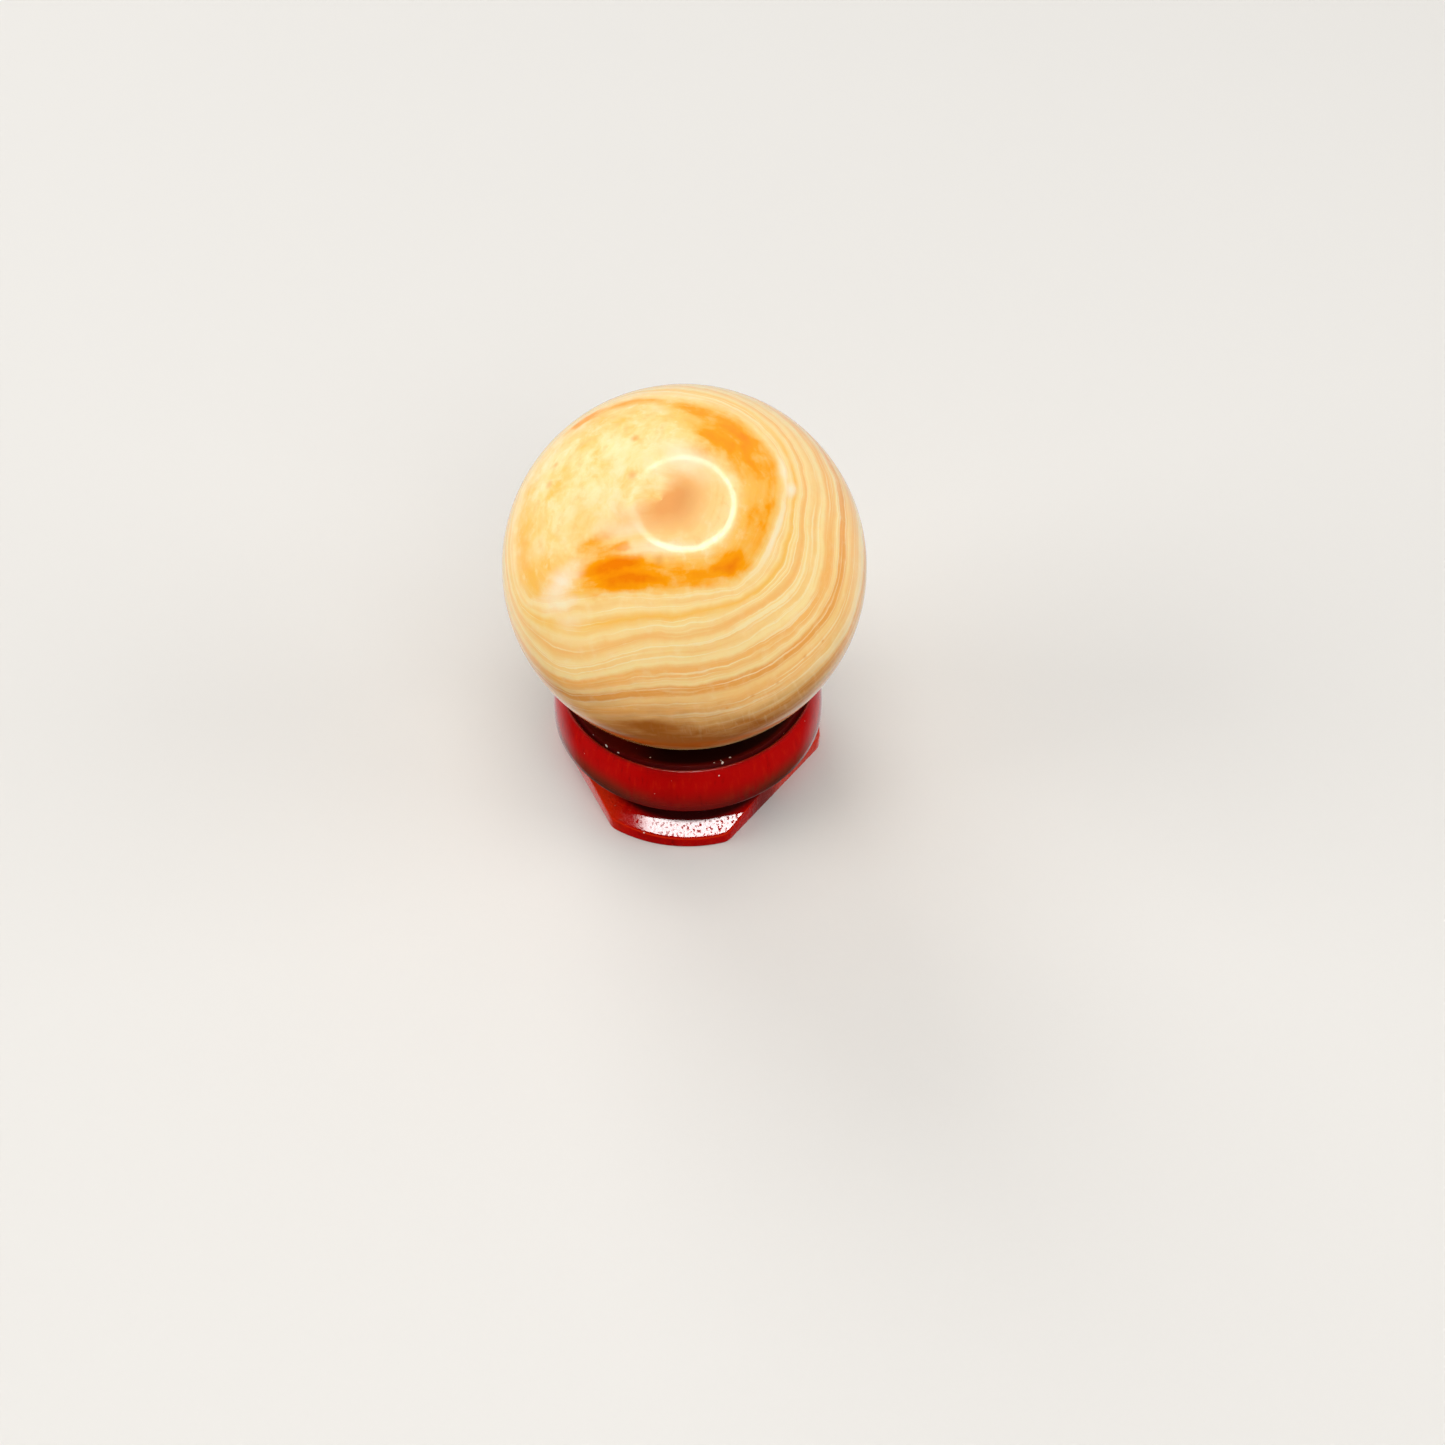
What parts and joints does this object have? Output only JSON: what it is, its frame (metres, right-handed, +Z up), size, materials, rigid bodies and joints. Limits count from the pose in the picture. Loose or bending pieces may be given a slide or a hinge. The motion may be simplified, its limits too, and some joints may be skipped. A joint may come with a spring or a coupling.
{
  "type": "calcite sphere on stand",
  "caption": "Polished ball of banded calcite resting loose in the dish of a turned, red-lacquered wooden ring stand with a lobed foot; a shelf ornament or paperweight.",
  "frame": {"origin": "middle of the stand's underside, on the surface that it stands on, under the middle of the ball", "axes": "+Z up along the axis of the stand and the ball, +X to the right and -Y to the front as pictured"},
  "size_m": [0.04, 0.04, 0.0505],
  "materials": {
    "calcite": "polished",
    "red_lacquer": "gloss lacquer"
  },
  "bodies": {
    "stand": {"lobed_foot": "red_lacquer", "seat_ring": "red_lacquer"},
    "sphere": {"calcite_sphere": "calcite"}
  },
  "joints": [
    {"name": "sphere_lift", "type": "slide", "parent": "stand", "child": "sphere", "axis": [0, 0, 1], "range_m": [0, 0.04]}
  ]
}
